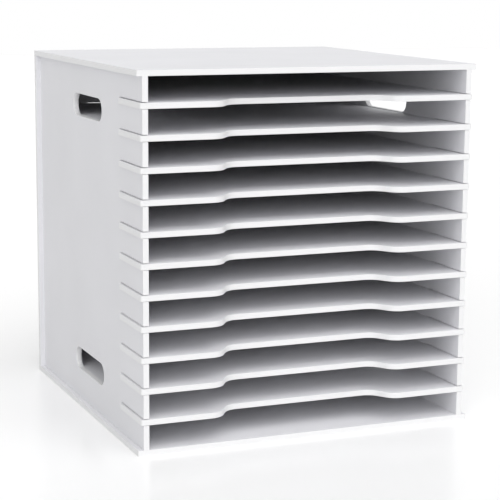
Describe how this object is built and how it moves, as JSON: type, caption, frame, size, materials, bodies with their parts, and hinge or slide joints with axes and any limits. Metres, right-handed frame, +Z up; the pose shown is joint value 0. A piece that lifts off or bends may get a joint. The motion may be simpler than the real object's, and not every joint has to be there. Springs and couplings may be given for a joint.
{
  "type": "scrapbook paper organizer",
  "caption": "White board case with open-front slots for square scrapbook paper, pull-out shelves with a finger notch, and handle holes in both sides.",
  "frame": {"origin": "middle of the footprint, on the plane that the bottom panel stands on", "axes": "+X to the right of a person facing the open front, +Y from the front to the back, +Z up"},
  "size_m": [0.3304, 0.3302, 0.3394],
  "materials": {
    "white_board": "satin white",
    "screw_steel": "zinc plated"
  },
  "bodies": {
    "case": {"top_panel": "white_board", "bottom_panel": "white_board", "left_side_panel": "white_board", "right_side_panel": "white_board", "back_panel": "white_board", "base_screws": "screw_steel", "back_screws": "screw_steel"},
    "shelf_01": {"shelf_01": "white_board"},
    "shelf_02": {"shelf_02": "white_board"},
    "shelf_03": {"shelf_03": "white_board"},
    "shelf_04": {"shelf_04": "white_board"},
    "shelf_05": {"shelf_05": "white_board"},
    "shelf_06": {"shelf_06": "white_board"},
    "shelf_07": {"shelf_07": "white_board"},
    "shelf_08": {"shelf_08": "white_board"},
    "shelf_09": {"shelf_09": "white_board"},
    "shelf_10": {"shelf_10": "white_board"},
    "shelf_11": {"shelf_11": "white_board"}
  },
  "joints": [
    {"name": "shelf_01_slide", "type": "slide", "parent": "case", "child": "shelf_01", "axis": [0, -1, 0], "range_m": [0, 0.3352]},
    {"name": "shelf_02_slide", "type": "slide", "parent": "case", "child": "shelf_02", "axis": [0, -1, 0], "range_m": [0, 0.3352]},
    {"name": "shelf_03_slide", "type": "slide", "parent": "case", "child": "shelf_03", "axis": [0, -1, 0], "range_m": [0, 0.3352]},
    {"name": "shelf_04_slide", "type": "slide", "parent": "case", "child": "shelf_04", "axis": [0, -1, 0], "range_m": [0, 0.3352]},
    {"name": "shelf_05_slide", "type": "slide", "parent": "case", "child": "shelf_05", "axis": [0, -1, 0], "range_m": [0, 0.3352]},
    {"name": "shelf_06_slide", "type": "slide", "parent": "case", "child": "shelf_06", "axis": [0, -1, 0], "range_m": [0, 0.3352]},
    {"name": "shelf_07_slide", "type": "slide", "parent": "case", "child": "shelf_07", "axis": [0, -1, 0], "range_m": [0, 0.3352]},
    {"name": "shelf_08_slide", "type": "slide", "parent": "case", "child": "shelf_08", "axis": [0, -1, 0], "range_m": [0, 0.3352]},
    {"name": "shelf_09_slide", "type": "slide", "parent": "case", "child": "shelf_09", "axis": [0, -1, 0], "range_m": [0, 0.3352]},
    {"name": "shelf_10_slide", "type": "slide", "parent": "case", "child": "shelf_10", "axis": [0, -1, 0], "range_m": [0, 0.3352]},
    {"name": "shelf_11_slide", "type": "slide", "parent": "case", "child": "shelf_11", "axis": [0, -1, 0], "range_m": [0, 0.3352]}
  ]
}
